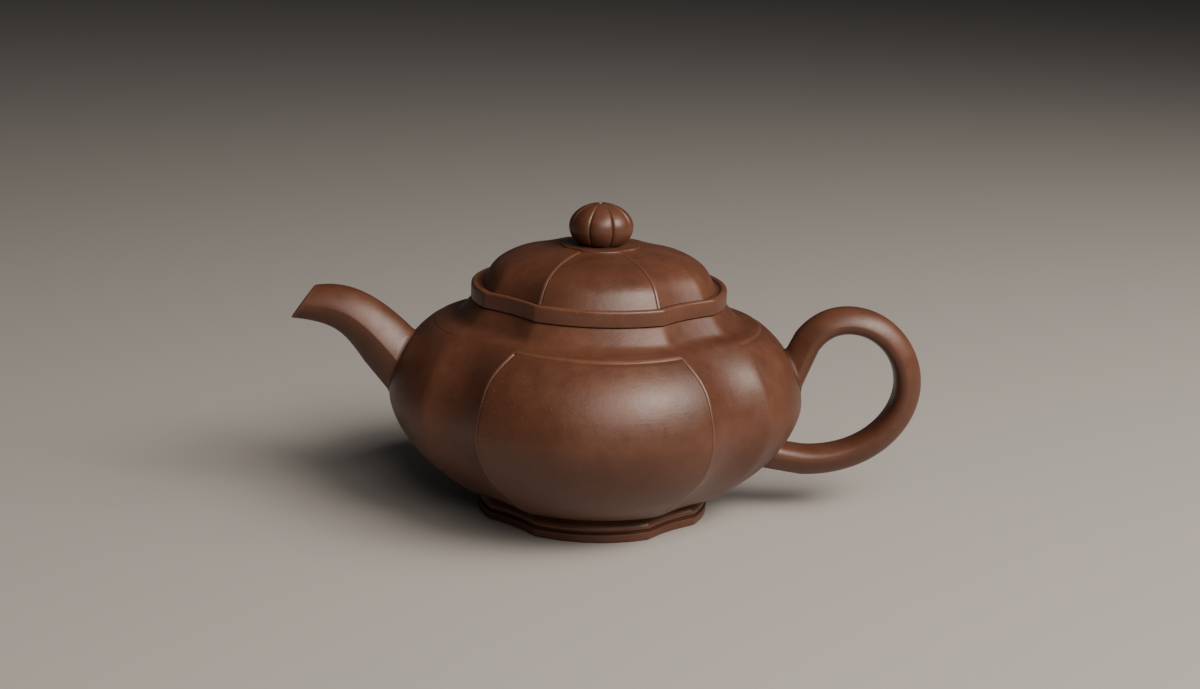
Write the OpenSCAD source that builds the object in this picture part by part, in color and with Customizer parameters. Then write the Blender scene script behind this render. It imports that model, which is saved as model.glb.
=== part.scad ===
// Fluted Yixing clay teapot: four wide lobes and four narrow drawn-in flutes.
// Millimetres, +Z up. The origin is on the pot's axis at the foot; the spout points to -X.

/* [Lobes] */
// Angle from the middle of a wide lobe to its corner, on the lid, the neck and the foot
lobe_half = 28.8; // [27:0.1:31]
// The same angle at the widest part of the belly, where the flutes take up less of the round
belly_lobe_half = 33.4; // [31:0.1:35]
// Depth of a flute, as a share of the radius at the lobe's corner
flute_share = 0.067; // [0.03:0.001:0.09]
// Radius at a corner on the belly, as a share of the radius at the lobe's middle
belly_corner = 0.96; // [0.94:0.005:0.99]
// Depth of the upright incised lines beside the panels
line_depth = 0.5; // [0.3:0.05:0.9]
// Depth of the level line over each lobe
level_depth = 0.3; // [0.2:0.05:0.6]
// Half the angle that an incised line takes up
line_half = 1.2; // [0.8:0.1:2]

/* [Body] */
// Radius of the belly on the middle of a lobe
belly_r = 49.5; // [47:0.5:53]
// Height of the widest part of the belly
belly_z = 28; // [25:0.5:31]
// Height of the seam between the wall and the shoulder slab
shoulder_z = 45.9; // [44.5:0.1:46.5]
// Height of the shoulder slab's top, where the neck ring stands
body_top = 48.3; // [47.9:0.1:50]
// Thickness of the wall at the belly
wall = 2.6; // [2.2:0.1:3.4]
// Radius of the wall's own opening, under the shoulder slab
wall_mouth_r = 33; // [30:0.5:34]
// Fullness of the belly above its widest part
upper_fullness = 1.78; // [1.6:0.02:2.1]
// Fullness of the belly below its widest part
lower_fullness = 1.58; // [1.44:0.02:1.9]

/* [Foot] */
// Radius of the round opening that the base disc closes
base_r = 23; // [20:0.5:24]
// Thickness of the foot ring's wall at the ground, on the middle of a lobe
foot_wall = 4.8; // [4.2:0.1:6.4]
// Height of the foot ring
foot_h = 5.4; // [4.8:0.1:6]
// Height of the plain band at the ground
foot_band_h = 2; // [1.6:0.1:2.2]
// Depth of the groove between the plain band and the bead
foot_groove = 0.9; // [0.5:0.05:1.1]
// How far the waist over the bead lies inside the foot's outline
foot_waist = 1.8; // [1.4:0.1:2.2]
// Thickness of the base disc
base_t = 3.4; // [2.8:0.1:3.8]
// Depth of the hollow under the base disc
base_recess = 3; // [2.5:0.1:3.5]

/* [Neck and mouth] */
// Height of the neck ring
neck_h = 3.6; // [2.5:0.1:4.5]
// Radius of the neck under the lid, on the middle of a lobe
neck_r = 30; // [29:0.25:30.25]
// How far the neck's foot stands out past its top
neck_flare = 2.2; // [1.5:0.1:2.6]
// Radius of the round mouth
mouth_r = 22; // [20:0.25:23]

/* [Lid] */
// Radius of the lid's rim on the middle of a lobe
rim_r = 30.6; // [30.4:0.1:32]
// Height of the lid's rim, without its lip
rim_h = 3.2; // [2.8:0.1:4.4]
// Rounding of the rim's upper edge
rim_round = 0.8; // [0.6:0.1:1]
// Height of the lip round the rim, over the channel at the dome's foot
lip_h = 0.4; // [0.2:0.05:0.7]
// Width of that lip
lip_w = 1.9; // [1.7:0.1:2.2]
// Radius of the dome's curve where it would stand upright, on the middle of a lobe
dome_r = 27.9; // [26.5:0.1:28.2]
// How far below the rim's top the dome's curve would stand upright
dome_start = 3.1; // [2:0.1:4]
// Height of the dome above the rim
dome_h = 9.9; // [8:0.1:11]
// Fullness of the dome
dome_fullness = 2.6; // [2.3:0.05:2.8]
// Clay above the hollow at the middle of the dome
dome_t = 3.4; // [2.8:0.1:4.5]
// Gap between the lid's flange and the mouth, all round
flange_gap = 0.3; // [0.2:0.05:0.6]
// Thickness of the flange
flange_t = 2.5; // [2:0.1:3]
// Depth that the flange reaches into the mouth
flange_h = 7; // [5:0.5:9]

/* [Knob] */
// Radius of the melon knob over its ribs
knob_r = 7.6; // [6.5:0.1:9]
// Height of the knob
knob_h = 9.3; // [8:0.1:11]
// Height of the short stem under the knob
stem_h = 0.6; // [0.4:0.1:1.5]
// Radius of the stem
stem_r = 4.6; // [4:0.1:5]
// Number of ribs on the knob
knob_ribs = 8; // [6:1:12]
// Diameter of the air hole through the knob and the dome
vent_d = 1.6; // [1:0.1:2.2]

/* [Spout] */
// Distance of the lower lip from the pot's axis
spout_reach = 72.6; // [69:0.1:78]
// Height of the middle of the spout's mouth
spout_tip_z = 48.5; // [46:0.1:52]
// Height at which the spout's axis leaves the wall
spout_root_z = 35.8; // [33:0.1:37]
// Height of the spout's section at the root, square to its axis
spout_root_h = 15; // [14.5:0.25:17]
// Width of the spout's section at the root
spout_root_w = 15; // [14.5:0.25:17]
// Height of the spout's section at the mouth
spout_tip_h = 8; // [7.6:0.2:10]
// Width of the spout's section at the mouth
spout_tip_w = 9.6; // [8.6:0.2:11]
// Wall of the spout at the root
spout_wall = 2; // [1.6:0.1:2.2]
// Wall of the spout at the lip
spout_lip_t = 1.3; // [1.1:0.1:1.6]
// Radius of the pierced strainer in the wall behind the spout
strainer_r = 4.8; // [4.2:0.1:5]
// Diameter of each hole in the strainer
strainer_hole_d = 2; // [1.4:0.1:2.2]
// How far the strainer's cap bulges into the pot
strainer_bulge = 2; // [1.4:0.1:2.6]

/* [Handle] */
// Distance of the handle's back from the pot's axis, to the middle of its section
handle_reach = 75; // [71:0.5:80]
// Height of the handle's top, to the middle of its section
handle_top = 48.3; // [46:0.1:52]
// Height of the handle's lowest stretch, to the middle of its section
handle_low = 12.5; // [11:0.1:15]
// Thickness of the handle at its back
handle_t = 6.4; // [5:0.1:7.4]
// Thickness of the handle at its roots
handle_root_t = 7.4; // [6:0.1:8.4]
// Width of the handle
handle_w = 9.2; // [7.6:0.2:10.6]

/* [Hidden] */
$fn = 96;
clay = "#7d4a36";
dark_clay = "#6f4030";
rim_corner = 1.0;               // corner share on the neck, the lid and the foot
change_width = 10;              // run of radius over which the neck's plan turns into the belly's
widen_start = 7;                // how far outside the neck the lobes begin to widen
dome_sink = 6;                  // how far along that run the dome's plan goes
neck_curve = 1.15;              // power of the neck's flare: 1 is a straight cone
line_fade_r = 12;               // radius inside which the dome's lines fade out
edge = 0.4;                     // small rounding at the ground and at the lid's seat
foot_bead_h = 1.1;              // height of the bead over the groove of the foot
floor_rise = 2.4;               // height of the wall's inner edge over its seat on the foot
root_gap = 0.05;                // luting film at the roots of the spout and the handle
turn_in = 1;                    // clay left round a round opening before it is bored
past = 1;                       // how far a cut runs past what it cuts
foot_r = base_r + foot_wall;    // radius of the foot on the middle of a lobe
foot_neck_r = foot_r - foot_waist;
floor_z = foot_h + floor_rise;  // inside of the wall at the base disc
seat_z = body_top + neck_h;     // where the lid rests
rim_top = seat_z + rim_h;
dome_top = rim_top + dome_h;
flange_r = mouth_r - flange_gap;
hollow_r = flange_r - flange_t; // inside of the flange and of the lid
neck_base_r = neck_r + neck_flare;

// ---- plan of the lobes ----

// Azimuth from the middle of the nearest lobe
function fold(a) = a - 90 * round(a / 90);
function smooth(u) = let (v = max(0, min(1, u))) v * v * (3 - 2 * v);

// Angle from a lobe's middle to its corner where the lobe's radius is r
function half(r) = lobe_half
    + (belly_lobe_half - lobe_half) * smooth((r - neck_r - widen_start) / change_width);

// Radius at azimuth a, as a share of the radius on the lobe's middle
function plan(a, corner, half) = let (t = abs(fold(a)))
    t <= half ? 1 - (1 - corner) * pow(t / half, 2)
    : corner * (1 - flute_share * (1 - pow((45 - t) / (45 - half), 2)));

// Upright line at both corners of the front and back lobes
function upright_line(a, half) = abs(sin(a)) > abs(cos(a))
    ? max(0, 1 - abs(abs(fold(a)) - half) / line_half) : 0;
// Level line across the top of a lobe, which fades out in the flutes
level_fade = 4;
function level_line(a, half) = 1 - smooth((abs(fold(a)) - half) / level_fade + 0.5);

// Columns of the lobed surfaces: one at each corner, one at each side of its line
lobe_steps = 8;
flute_steps = 4;
function columns(half) = [for (q = [0:3]) each concat(
    [90 * q - half],
    [for (i = [0:lobe_steps]) 90 * q + (half - line_half) * (2 * i / lobe_steps - 1)],
    [90 * q + half],
    [for (i = [0:flute_steps])
        90 * q + half + line_half + (90 - 2 * (half + line_half)) * i / flute_steps])];

function ring(z, r, corner, upright = 0, level = 0, half = lobe_half) =
    [for (a = columns(half))
        let (d = r * plan(a, corner, half) - upright * upright_line(a, half)
            - level * level_line(a, half))
        [d * cos(a), d * sin(a), z]];

// ---- profiles ----

// Quarter of a superellipse: from [r1, z0] at s = 0 to [r0, z1] at s = 90
function quarter(r0, r1, z0, z1, n, s) =
    [r0 + (r1 - r0) * pow(cos(s), 2 / n), z0 + (z1 - z0) * pow(sin(s), 2 / n)];
function quarter_r(r0, r1, z0, z1, n, z) =
    let (u = max(0, min(1, (z - z0) / (z1 - z0)))) r0 + (r1 - r0) * pow(1 - pow(u, n), 1 / n);
// Value of s at which such a quarter has climbed a given share of its height
function climbed(share, n) = asin(pow(share, n / 2));

function body_r(z) = z < belly_z
    ? quarter_r(foot_neck_r, belly_r, belly_z, foot_h, lower_fullness, z)
    : quarter_r(neck_base_r, belly_r, belly_z, body_top, upper_fullness, z);
// The corners stand out less on the belly than on the neck and the foot
function body_corner(r) = rim_corner
    - (rim_corner - belly_corner) * smooth((r - neck_r) / change_width);
function skin_r(a, z) = let (r = body_r(z)) r * plan(a, body_corner(r), half(r));

// Point of the dome's profile; its top is flat, where the knob's stem stands
dome_end = 76;
dome_first = climbed(dome_start / (dome_h + dome_start), dome_fullness);
function dome_point(s) = quarter(0, dome_r, rim_top - dome_start, dome_top, dome_fullness, s);
knob_seat_z = dome_point(dome_end)[1];
knob_z = knob_seat_z + stem_h;  // underside of the knob

// Point of the body's profile at the level line, and how far from it the next ring lies
near_line = 2;
shoulder_s = climbed((shoulder_z - belly_z) / (body_top - belly_z), upper_fullness);
function body_ring(z, level = 0, upright = 1) = let (r = body_r(z))
    ring(z, r, body_corner(r), upright * line_depth, level * level_depth, half(r));
function inner_ring(p) = ring(p[1], p[0], body_corner(p[0]), half = half(p[0]));

// ---- solids from rings ----

// Two triangles for each field between ring i and ring j
function band(i, j, n) = [for (k = [0:n - 1]) let (m = (k + 1) % n)
    each [[i * n + k, j * n + k, i * n + m], [i * n + m, j * n + k, j * n + m]]];

// Rings in a loop: out along the outside and back along the inside
module tube(rings) {
    n = len(rings[0]);
    count = len(rings);
    polyhedron([for (r = rings) each r],
        [for (i = [0:count - 1]) each band(i, (i + 1) % count, n)]);
}

// Rings in a stack, closed at both ends round the middle of the end rings
module stack(rings, start, end) {
    n = len(rings[0]);
    count = len(rings);
    polyhedron(concat([for (r = rings) each r], [start, end]),
        concat([for (i = [0:count - 2]) each band(i, i + 1, n)],
            [for (k = [0:n - 1]) [count * n, k, (k + 1) % n]],
            [for (k = [0:n - 1])
                [count * n + 1, (count - 1) * n + (k + 1) % n, (count - 1) * n + k]]));
}

module lobed_stack(rings) {
    stack(rings, [0, 0, rings[0][0][2]], [0, 0, rings[len(rings) - 1][0][2]]);
}

// ---- swept pieces: their axes lie in the plane of spout and handle ----

function bezier(p, t) = pow(1 - t, 3) * p[0] + 3 * t * pow(1 - t, 2) * p[1]
    + 3 * t * t * (1 - t) * p[2] + t * t * t * p[3];
function bezier_way(p, t) = let (d = 3 * pow(1 - t, 2) * (p[1] - p[0])
    + 6 * t * (1 - t) * (p[2] - p[1]) + 3 * t * t * (p[3] - p[2])) d / norm(d);

// Oval with a soft ridge along each side; h is its height in the plane, w its width
// shape holds the powers of its two directions, outside and inside of the bend
sweep_sides = 24;
function power(x, n) = sign(x) * pow(abs(x), n);
function oval(c, way, h, w, shape) = [for (k = [0:sweep_sides - 1])
    let (f = 360 * k / sweep_sides, side = sin(f) < 0 ? shape[1] : shape[0],
        v = h / 2 * power(sin(f), side[0]))
    [c[0] - v * way[1], w / 2 * power(cos(f), side[1]), c[1] + v * way[0]]];

// Distance of a point outside the body's skin
function outside(p) = norm([p[0], p[1]]) - skin_r(atan2(p[1], p[0]), p[2]) - root_gap;
// Point on the line from a (inside the skin) to b (outside it) that meets the skin
halvings = 22;
function meet(a, b, left = halvings) = let (m = (a + b) / 2)
    left == 0 ? m : outside(m) > 0 ? meet(a, m, left - 1) : meet(m, b, left - 1);
function land(points, way, reach) =
    [for (p = points) meet(p - reach * [way[0], 0, way[1]], p)];

// ---- pieces of the pot ----

module body_wall() {
    rows_below = 9;
    rows_above = 6;
    rows_inside = 7;
    outside_rings = concat(
        [for (i = [rows_below:-1:1])
            body_ring(quarter(0, 1, belly_z, foot_h, lower_fullness, 90 * i / rows_below)[1])],
        [for (i = [0:rows_above]) let (s = (shoulder_s - near_line) * i / rows_above)
            body_ring(quarter(0, 1, belly_z, body_top, upper_fullness, s)[1])],
        [body_ring(shoulder_z, 1)]);
    inside_rings = concat(
        [for (i = [rows_inside:-1:0])
            inner_ring(quarter(wall_mouth_r, belly_r - wall, belly_z, shoulder_z, upper_fullness,
                90 * i / rows_inside))],
        [for (i = [1:rows_inside])
            inner_ring(quarter(base_r - turn_in, belly_r - wall, belly_z, floor_z, lower_fullness,
                90 * i / rows_inside))],
        [ring(foot_h, base_r - turn_in, rim_corner)]);
    color(clay) difference() {
        tube(concat(outside_rings, inside_rings));
        translate([0, 0, foot_h - past]) cylinder(h = floor_rise + 2 * past, r = base_r);
        strainer_bore();
    }
}

// Turns +Z to square into the wall behind the spout, with z = 0 on the wall's outside
module into_wall() {
    translate([spout_root[0], 0, spout_root_z]) rotate([0, 90 + root_tilt, 0]) children();
}

module strainer_bore() {
    into_wall() translate([0, 0, -strainer_r]) cylinder(h = 3 * strainer_r, r = strainer_r);
}

module shoulder_slab() {
    rows = 5;
    color(clay) difference() {
        lobed_stack(concat([body_ring(shoulder_z, 1)],
            [for (i = [1:rows])
                let (first = shoulder_s + near_line, s = first + (90 - first) * i / rows)
                body_ring(quarter(0, 1, belly_z, body_top, upper_fullness, s)[1], 0, 0)]));
        translate([0, 0, shoulder_z - past])
            cylinder(h = body_top - shoulder_z + 2 * past, r = mouth_r);
    }
}

module neck_ring() {
    rows = 5;
    color(clay) difference() {
        lobed_stack([for (i = [0:rows])
            ring(body_top + neck_h * i / rows, neck_r + neck_flare * pow(1 - i / rows, neck_curve),
                rim_corner)]);
        translate([0, 0, body_top - past]) cylinder(h = neck_h + 2 * past, r = mouth_r);
    }
}

module base_disc() {
    color(dark_clay) translate([0, 0, base_recess]) cylinder(h = base_t, r = base_r);
}

module foot_ring() {
    groove_z = foot_band_h + edge;
    bead_in = foot_groove / 3;
    color(clay) difference() {
        lobed_stack([ring(0, foot_r - edge, rim_corner), ring(edge, foot_r, rim_corner),
            ring(foot_band_h - edge / 2, foot_r, rim_corner),
            ring(foot_band_h, foot_r - foot_groove, rim_corner),
            ring(groove_z, foot_r - bead_in - edge / 2, rim_corner),
            ring(groove_z + bead_in + edge / 2, foot_r - bead_in, rim_corner),
            ring(groove_z + foot_bead_h, foot_r - 2 * bead_in, rim_corner),
            ring(foot_h, foot_neck_r, rim_corner)]);
        translate([0, 0, -past]) cylinder(h = foot_h + 2 * past, r = base_r);
    }
}

// ---- spout ----

spout_root = [-skin_r(180, spout_root_z), spout_root_z];
// Slope of the wall at the root, over a short run up and down
root_run = spout_root_h / 15;
root_tilt = atan((body_r(spout_root_z - root_run) - body_r(spout_root_z + root_run))
    / (2 * root_run));
// The spout's axis: how it sets off, where it levels out and where it ends
spout_out = 8;
spout_up = 9.5;
spout_level_x = 59.5;
spout_hump = 0.4;
spout_lip_back = 2.2;
spout_line = [spout_root, spout_root + [-spout_out, spout_up],
    [-spout_level_x, spout_tip_z + spout_hump], [-spout_reach + spout_lip_back, spout_tip_z]];
spout_rows = 9;
// Powers of its section under and over the ridge along each side
spout_shape = [[1.3, 1], [1.7, 1]];
function spout_h(t) = spout_root_h + (spout_tip_h - spout_root_h) * pow(t, 0.9);
function spout_w(t) = spout_root_w + (spout_tip_w - spout_root_w) * pow(t, 0.7);
// The mouth is cut on a slant: its upper edge lies behind its lower lip
lip_slant = 0.75;
function cut_mouth(points, c, share) =
    [for (p = points) p + [share * lip_slant * (p[2] - c[1]), 0, 0]];
function spout_t(t) = spout_wall + (spout_lip_t - spout_wall) * t;
function spout_ring(t, inside = 0) = let (c = bezier(spout_line, t), less = 2 * inside * spout_t(t))
    cut_mouth(oval(c, bezier_way(spout_line, t), spout_h(t) - less, spout_w(t) - less,
        inside == 1 ? [[1, 1], [1, 1]] : spout_shape), c, pow(t, 4));

module spout() {
    first = 1.2 / spout_rows;
    way = bezier_way(spout_line, 0);
    back = spout_root_h + spout_root_w;
    outer = [for (i = [0:spout_rows]) spout_ring(first + (1 - first) * i / spout_rows)];
    bore = [for (i = [spout_rows:-1:0])
        spout_ring(first + (1 - first) * i / spout_rows, 1)];
    color(clay) tube(concat([land(spout_ring(first), way, back)], outer, bore,
        [land(spout_ring(first, 1), way, back)]));
}

// Pierced cap in the wall behind the spout, domed towards the inside
strainer_inset = 0.6;
module spout_strainer() {
    cap_t = wall - strainer_inset;
    dome_radius = (pow(strainer_r, 2) + pow(strainer_bulge, 2)) / (2 * strainer_bulge);
    color(dark_clay) into_wall() translate([0, 0, strainer_inset]) difference() {
        union() {
            cylinder(h = cap_t, r = strainer_r);
            translate([0, 0, cap_t]) intersection() {
                translate([0, 0, strainer_bulge - dome_radius]) sphere(r = dome_radius);
                cylinder(h = strainer_bulge + past, r = strainer_r);
            }
        }
        for (i = [0:6]) rotate([0, 0, 60 * i])
            translate([i == 6 ? 0 : strainer_r * 0.58, 0, -past])
                cylinder(h = cap_t + strainer_bulge + 2 * past, d = strainer_hole_d, $fn = 24);
    }
}

// ---- handle ----

handle_upper_z = 36.5;
handle_lower_z = 14.2;
handle_back_z = 32.5;
handle_crest_x = 60;
// How the handle's axis leaves the wall, the crest and the back, and how it comes home
handle_out = 2;
handle_up = 7;
crest_before = 6.5;
crest_after = 8.5;
back_above = 8;
back_below = 8.5;
home_x = 62;
home_dip = 3.2;
handle_upper = [skin_r(0, handle_upper_z), handle_upper_z];
handle_crest = [handle_crest_x, handle_top];
handle_back = [handle_reach, handle_back_z];
handle_lines = [
    [handle_upper, handle_upper + [handle_out, handle_up],
        handle_crest - [crest_before, 0], handle_crest],
    [handle_crest, handle_crest + [crest_after, 0],
        handle_back + [0, back_above], handle_back],
    [handle_back, [handle_reach, handle_low + back_below],
        [home_x, handle_low - home_dip], [skin_r(0, handle_lower_z), handle_lower_z]]];
handle_rows = [5, 5, 8];
// Domed outside, nearly flat on the inside where the fingers go
handle_shape = [[1.3, 0.9], [0.85, 0.6]];
function handle_ring(part, t) =
    let (whole = (part + t) / 3, to_root = pow(abs(2 * whole - 1), 3))
    oval(bezier(handle_lines[part], t), bezier_way(handle_lines[part], t),
        handle_t + (handle_root_t - handle_t) * to_root, handle_w, handle_shape);

module handle() {
    first = 0.28;
    last = 0.88;
    rows = concat([for (i = [0:handle_rows[0] - 1])
            handle_ring(0, first + (1 - first) * i / handle_rows[0])],
        [for (i = [0:handle_rows[1] - 1]) handle_ring(1, i / handle_rows[1])],
        [for (i = [0:handle_rows[2]]) handle_ring(2, last * i / handle_rows[2])]);
    upper_way = bezier_way(handle_lines[0], 0.1);
    lower_way = bezier_way(handle_lines[2], 0.95);
    back = 2 * handle_root_t;
    upper = land(rows[0], upper_way, back);
    lower = land(rows[len(rows) - 1], -lower_way, back);
    color(clay) stack(concat([upper], rows, [lower]),
        land([middle(rows[0])], upper_way, back)[0],
        land([middle(rows[len(rows) - 1])], -lower_way, back)[0]);
}
function middle(points) = (points[0] + points[sweep_sides / 2]) / 2;

// ---- lid ----

module lid_rim() {
    color(clay) difference() {
        lobed_stack(concat([ring(seat_z, rim_r - edge, rim_corner),
                ring(seat_z + edge, rim_r, rim_corner)],
            [for (s = [0:30:90]) ring(rim_top + lip_h - rim_round * (1 - sin(s)),
                rim_r - rim_round * (1 - cos(s)), rim_corner)],
            [ring(rim_top + lip_h, rim_r - lip_w + lip_h, rim_corner),
                ring(rim_top, rim_r - lip_w, rim_corner)]));
        translate([0, 0, seat_z - past]) cylinder(h = rim_h + 2 * past, r = hollow_r);
    }
}

module lid_dome() {
    rows = 8;
    color(clay) difference() {
        lobed_stack([for (i = [0:rows])
            let (s = dome_first + (dome_end - dome_first) * i / rows, p = dome_point(s))
            ring(p[1], p[0], body_corner(neck_r + dome_sink * (p[1] - rim_top) / dome_h),
                line_depth * min(1, p[0] / line_fade_r))]);
        translate([0, 0, rim_top - past]) rotate_extrude() lid_hollow();
        cylinder(h = dome_top + past, d = vent_d);
    }
}

// Half section of the hollow inside the dome
module lid_hollow() {
    rise = dome_h - dome_t;
    polygon(concat([[0, 0], [hollow_r, 0], [hollow_r, past]],
        [for (s = [10:10:90]) [hollow_r * cos(s), past + rise * sin(s)]]));
}

module lid_flange() {
    lead = 2 * edge;
    flange_end = seat_z - flange_h;
    color(dark_clay) rotate_extrude() polygon([[hollow_r, seat_z], [flange_r, seat_z],
        [flange_r, flange_end + lead], [flange_r - lead, flange_end], [hollow_r, flange_end]]);
}

module knob() {
    per_rib = 6;
    sides = knob_ribs * per_rib;
    rows = 9;
    low_angle = 40;
    high_angle = 84;
    centre = knob_z + knob_h * sin(low_angle) / (sin(low_angle) + 1);
    half = knob_z + knob_h - centre;
    function rib_ring(s) = [for (k = [0:sides - 1])
        let (a = 360 * k / sides, crease = pow(abs(sin(knob_ribs * a / 2)), 8),
            d = knob_r * cos(s) * (1 - 0.06 * crease))
        [d * cos(a), d * sin(a), centre + half * sin(s)]];
    color(clay) difference() {
        union() {
            lobed_stack([for (i = [0:rows])
                rib_ring(-low_angle + (low_angle + high_angle) * i / rows)]);
            translate([0, 0, knob_seat_z]) cylinder(h = stem_h + edge / 2, r = stem_r);
        }
        translate([0, 0, knob_seat_z - past])
            cylinder(h = knob_h + stem_h + 2 * past, d = vent_d);
    }
}

body_wall();
shoulder_slab();
neck_ring();
base_disc();
foot_ring();
spout();
spout_strainer();
handle();
lid_rim();
lid_dome();
lid_flange();
knob();
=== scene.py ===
"""A fluted yixing clay teapot: its finished pieces, fitted to the plain solids of its frame.

Lengths are millimetres and angles are degrees until a piece is finished, which makes it metres.
The pot stands at the origin; its spout points to -X, its handle to +X and its front to -Y.
"""
import math
from collections import namedtuple

import bmesh
import bpy
from mathutils import Matrix, Vector


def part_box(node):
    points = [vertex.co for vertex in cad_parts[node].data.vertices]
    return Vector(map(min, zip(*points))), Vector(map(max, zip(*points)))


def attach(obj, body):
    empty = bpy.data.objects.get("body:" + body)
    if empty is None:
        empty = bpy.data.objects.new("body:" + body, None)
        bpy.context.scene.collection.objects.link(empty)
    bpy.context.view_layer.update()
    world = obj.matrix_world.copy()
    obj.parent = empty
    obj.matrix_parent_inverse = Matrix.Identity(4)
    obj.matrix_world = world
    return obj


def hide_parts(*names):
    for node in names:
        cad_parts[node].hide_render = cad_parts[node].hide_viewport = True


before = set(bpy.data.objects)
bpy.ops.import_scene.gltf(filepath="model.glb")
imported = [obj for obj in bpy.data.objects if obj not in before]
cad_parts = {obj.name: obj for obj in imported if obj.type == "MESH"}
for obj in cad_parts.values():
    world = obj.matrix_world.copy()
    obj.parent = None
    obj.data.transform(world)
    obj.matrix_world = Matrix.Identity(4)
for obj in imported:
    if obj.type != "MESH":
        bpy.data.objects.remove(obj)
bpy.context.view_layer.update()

MM = 0.001
SHARP = math.radians(40)  # an edge that turns more than this is shaded as an edge


# ---------------------------------------------------------------- sizes

def reach(node):
    """Lowest and highest corner of a CAD node, in millimetres."""
    low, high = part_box(node)
    return low / MM, high / MM


wall_low, wall_high = reach("body_wall")
belly_r = wall_high.y
foot_h, shoulder_z = wall_low.z, wall_high.z
body_top = reach("shoulder_slab")[1].z
neck_base_r, seat_z = reach("neck_ring")[1].yz
foot_r = reach("foot_ring")[1].y
base_low, base_high = reach("base_disc")
base_r = base_high.y
rim_r, lip_top = reach("lid_rim")[1].yz
rim_top, knob_seat_z = reach("lid_dome")[0].z, reach("lid_dome")[1].z
flange_low, flange_high = reach("lid_flange")
flange_r = flange_high.y
knob_top = reach("knob")[1].z

# Plan of the lobes, as on the frame
lobe_half = 28.8  # from a lobe's middle to its corner on the lid, the neck and the foot
belly_lobe_half = 33.4  # and the same on the belly
flute_share = 0.067  # depth of a flute, as a share of the radius at a corner
belly_corner = 0.96  # radius at a corner of the belly, as a share of that on a lobe's middle
neck_r = 30
widen_start = 7  # how far out from the neck the lobes begin to widen
change_width = 10  # and over what distance they and their corners change
dome_sink = 6  # the dome's top has the corners that the body has this far out from the neck
# How softly a lobe bends into a flute, as a share of the radius
soft_neck, soft_side, soft_panel = 0.02, 0.013, 0.004
soft_inside, soft_root, soft_ring = 0.02, 0.006, 0.009
soft_dome_side, soft_dome_panel = 0.015, 0.006

# The body: its profile is a superellipse above its widest height and another below it
belly_z = 28
upper_fullness = 1.78
lower_fullness = 1.58
foot_neck_r = foot_r - 1.8
wall_t = 2.6
wall_mouth_r = 33  # the wall's inner edge under the shoulder
floor_rise = 2.4  # height of its inner edge over its seat on the foot
mouth_r = 22
spout_root_z = 35.8
strainer_r = 4.8

# The lid and its knob: the dome is a superellipse that would stand upright under the rim's top
dome_r = 27.9
dome_start = 3.1
dome_h = 9.9
dome_fullness = 2.6
dome_end = 76  # its angle where the knob's seat begins
dome_t = 3.4
hollow_r = 19.2
flange_t = 2.5
knob_r = 7.6
stem_h = 0.6
stem_r = 4.6
vent_r = 0.8

# A line has a round wall on its far side and a sharper one on the panel's side: how wide the round
# wall is and how far its curve turns, how wide the other is and how much of it lies close to the
# bottom, and how deep they meet
Line = namedtuple("Line", "wall turn rise bend depth")
upright_line = Line(wall=0.88, turn=70, rise=0.4, bend=1.8, depth=0.65)
level_line = Line(wall=1.2, turn=16, rise=1.2, bend=1.5, depth=0.26)
dome_line_cut = Line(wall=0.85, turn=60, rise=0.4, bend=2.2, depth=0.48)
knob_line = Line(wall=0.5, turn=45, rise=0.5, bend=1, depth=0.34)
line_floor = 0.18  # half the width of a line's dull bottom


# ---------------------------------------------------------------- plan and profiles

def fold(azimuth):
    """Angle from the middle of the nearest lobe."""
    return azimuth - 90 * round(azimuth / 90)


def smooth(u):
    """Eases from 0 to 1 as u goes from 0 to 1."""
    v = min(1, max(0, u))
    return v * v * (3 - 2 * v)


def soft_least(a, b, width):
    """The lesser of a and b, rounded where they cross."""
    share = min(1, max(0, 0.5 + 0.5 * (b - a) / width))
    return b + (a - b) * share - width * share * (1 - share)


def half_at(r):
    """Angle from a lobe's middle to its corner, where the body has this radius."""
    share = smooth((r - neck_r - widen_start) / change_width)
    return lobe_half + (belly_lobe_half - lobe_half) * share


def corner_at(r):
    """Radius at a lobe's corner, as a share of that on its middle."""
    return 1 - (1 - belly_corner) * smooth((r - neck_r) / change_width)


def faces_front(azimuth):
    """True on the two lobes that carry the panels, at the front and the back."""
    return abs(math.sin(math.radians(azimuth))) > abs(math.cos(math.radians(azimuth)))


def plan(azimuth, corner, half, softness):
    """Radius at an azimuth, as a share of the radius on a lobe's middle."""
    t = abs(fold(azimuth))
    lobe = 1 - (1 - corner) * (t / half) ** 2
    flute = corner * (1 - flute_share * (1 - ((45 - t) / (45 - half)) ** 2))
    return soft_least(lobe, flute, softness)


def quarter(r0, r1, z0, z1, fullness, s):
    """Quarter of a superellipse, from (r1, z0) at s = 0 to (r0, z1) at s = 90."""
    out, up = math.cos(math.radians(s)), math.sin(math.radians(s))
    return (r0 + (r1 - r0) * max(0, out) ** (2 / fullness),
            z0 + (z1 - z0) * max(0, up) ** (2 / fullness))


def body_r(z):
    """Radius of the body on a lobe's middle."""
    if z < belly_z:
        r0, z1, fullness = foot_neck_r, foot_h, lower_fullness
    else:
        r0, z1, fullness = neck_base_r, body_top, upper_fullness
    u = min(1, max(0, (z - belly_z) / (z1 - belly_z)))
    return r0 + (belly_r - r0) * (1 - u ** fullness) ** (1 / fullness)


def skin_r(azimuth, z):
    """Radius of the body at an azimuth, without its lines."""
    r = body_r(z)
    return r * plan(azimuth, corner_at(r), half_at(r), soft_root)


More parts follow.
